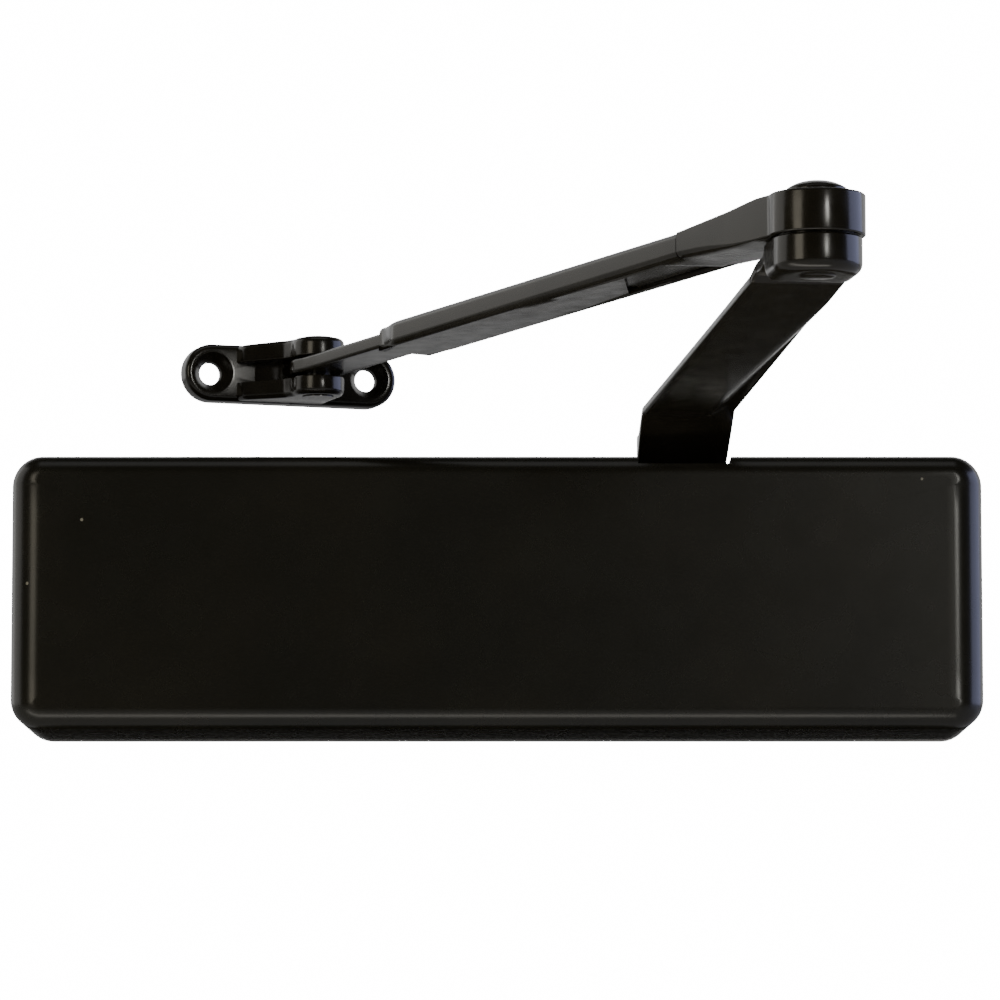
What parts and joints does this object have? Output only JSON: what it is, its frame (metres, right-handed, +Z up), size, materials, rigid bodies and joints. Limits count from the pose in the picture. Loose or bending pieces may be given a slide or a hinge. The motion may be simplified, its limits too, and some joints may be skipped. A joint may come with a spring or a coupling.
{
  "type": "door closer",
  "caption": "surface door closer: long flat rounded metal cover over a rack-and-pinion body, with a forged scissor arm ending in a two-hole shoe",
  "frame": {"origin": "centre of the four door-fixing holes, on the mounting face of the foot plate", "axes": "+X along the cover towards the pinion end, +Y into the door, +Z up along the pinion axis"},
  "size_m": [0.316, 0.2818, 0.1462],
  "materials": {
    "bronze_enamel": "dark bronze enamel, satin on the cover and glossier on the arms",
    "cast_body": "grey painted casting",
    "plated_steel": "zinc plated steel",
    "ground_steel": "turned and ground steel",
    "spring_steel": "oiled spring steel",
    "bronze_bearing": "sintered bronze",
    "black_oxide_steel": "black oxide",
    "seal_rubber": "nitrile"
  },
  "bodies": {
    "closer": {"cover": "bronze_enamel", "body_casting": "cast_body", "right_end_cap": "plated_steel", "left_end_cap": "plated_steel", "end_cap_seals": "seal_rubber", "upper_bearing": "bronze_bearing", "lower_bearing": "bronze_bearing", "upper_bearing_nut": "plated_steel", "lower_bearing_nut": "plated_steel", "pinion_shaft_seals": "seal_rubber", "closing_spring": "spring_steel", "cover_brackets": "plated_steel", "bracket_screws": "plated_steel", "cover_screws": "black_oxide_steel"},
    "pinion": {"pinion_shaft": "ground_steel", "main_arm": "bronze_enamel", "arm_screw": "black_oxide_steel", "arm_washer": "plated_steel", "elbow_rivet": "bronze_enamel", "elbow_washer": "bronze_enamel"},
    "piston": {"piston": "ground_steel", "piston_seal": "seal_rubber", "check_ball_retainer": "plated_steel"},
    "check_ball": {"check_ball": "ground_steel"},
    "spring_seat": {"spring_seat": "plated_steel"},
    "adjusting_screw": {"spring_adjusting_screw": "black_oxide_steel"},
    "sweep_valve": {"sweep_valve_screw": "black_oxide_steel"},
    "latch_valve": {"latch_valve_screw": "black_oxide_steel"},
    "backcheck_valve": {"backcheck_valve_screw": "black_oxide_steel"},
    "forearm": {"forearm_elbow_piece": "bronze_enamel", "forearm_sleeve": "bronze_enamel"},
    "clamp_screw": {"rod_clamp_screw": "black_oxide_steel"},
    "rod": {"forearm_rod": "bronze_enamel"},
    "shoe": {"shoe": "bronze_enamel", "shoe_pin": "bronze_enamel"}
  },
  "joints": [
    {"name": "pinion_turn", "type": "hinge", "parent": "closer", "child": "pinion", "pos_m": [0.06101, -0.032, 0], "axis": [0, 0, 1], "range_deg": [0, 175], "stiffness_Nm_per_rad": 4, "springref_deg": -34.38},
    {"name": "piston_slide", "type": "slide", "parent": "closer", "child": "piston", "axis": [-1, 0, 0], "range_m": [0, 0.0275], "deforming": ["closing_spring"]},
    {"name": "check_ball_lift", "type": "slide", "parent": "piston", "child": "check_ball", "axis": [-1, 0, 0], "range_m": [0, 0.0008]},
    {"name": "spring_adjuster_turn", "type": "hinge", "parent": "closer", "child": "adjusting_screw", "pos_m": [-0.114, -0.032, 0], "axis": [-1, 0, 0], "range_deg": [0, 2880.5]},
    {"name": "spring_seat_slide", "type": "slide", "parent": "closer", "child": "spring_seat", "axis": [1, 0, 0], "range_m": [0, 0.016]},
    {"name": "sweep_valve_turn", "type": "hinge", "parent": "closer", "child": "sweep_valve", "pos_m": [0.08601, -0.048, 0.0295], "axis": [0, -1, 0], "range_deg": [0, 1080]},
    {"name": "latch_valve_turn", "type": "hinge", "parent": "closer", "child": "latch_valve", "pos_m": [0.09501, -0.048, 0.0295], "axis": [0, -1, 0], "range_deg": [0, 1080]},
    {"name": "backcheck_valve_turn", "type": "hinge", "parent": "closer", "child": "backcheck_valve", "pos_m": [0.10401, -0.048, 0.0295], "axis": [0, -1, 0], "range_deg": [0, 1080]},
    {"name": "elbow_swing", "type": "hinge", "parent": "pinion", "child": "forearm", "pos_m": [0.09322, -0.25832, 0.0907], "axis": [0, 0, 1], "range_deg": [-20, 140]},
    {"name": "rod_extend", "type": "slide", "parent": "forearm", "child": "rod", "axis": [-0.5521, 0.8325, -0.0467], "range_m": [-0.015, 0.03]},
    {"name": "clamp_screw_turn", "type": "hinge", "parent": "forearm", "child": "clamp_screw", "pos_m": [-0.02008, -0.08747, 0.08112], "axis": [0, 0, 1], "range_deg": [0, 720]},
    {"name": "shoe_swivel", "type": "hinge", "parent": "rod", "child": "shoe", "pos_m": [-0.05931, -0.0283, 0.0778], "axis": [0, 0, 1], "range_deg": [-70, 70]}
  ],
  "couplings": [
    {"joint": "piston_slide", "follows": "pinion_turn", "m_per_rad": 0.009},
    {"joint": "spring_adjuster_turn", "follows": "spring_seat_slide", "rad_per_m": 3141.6}
  ]
}
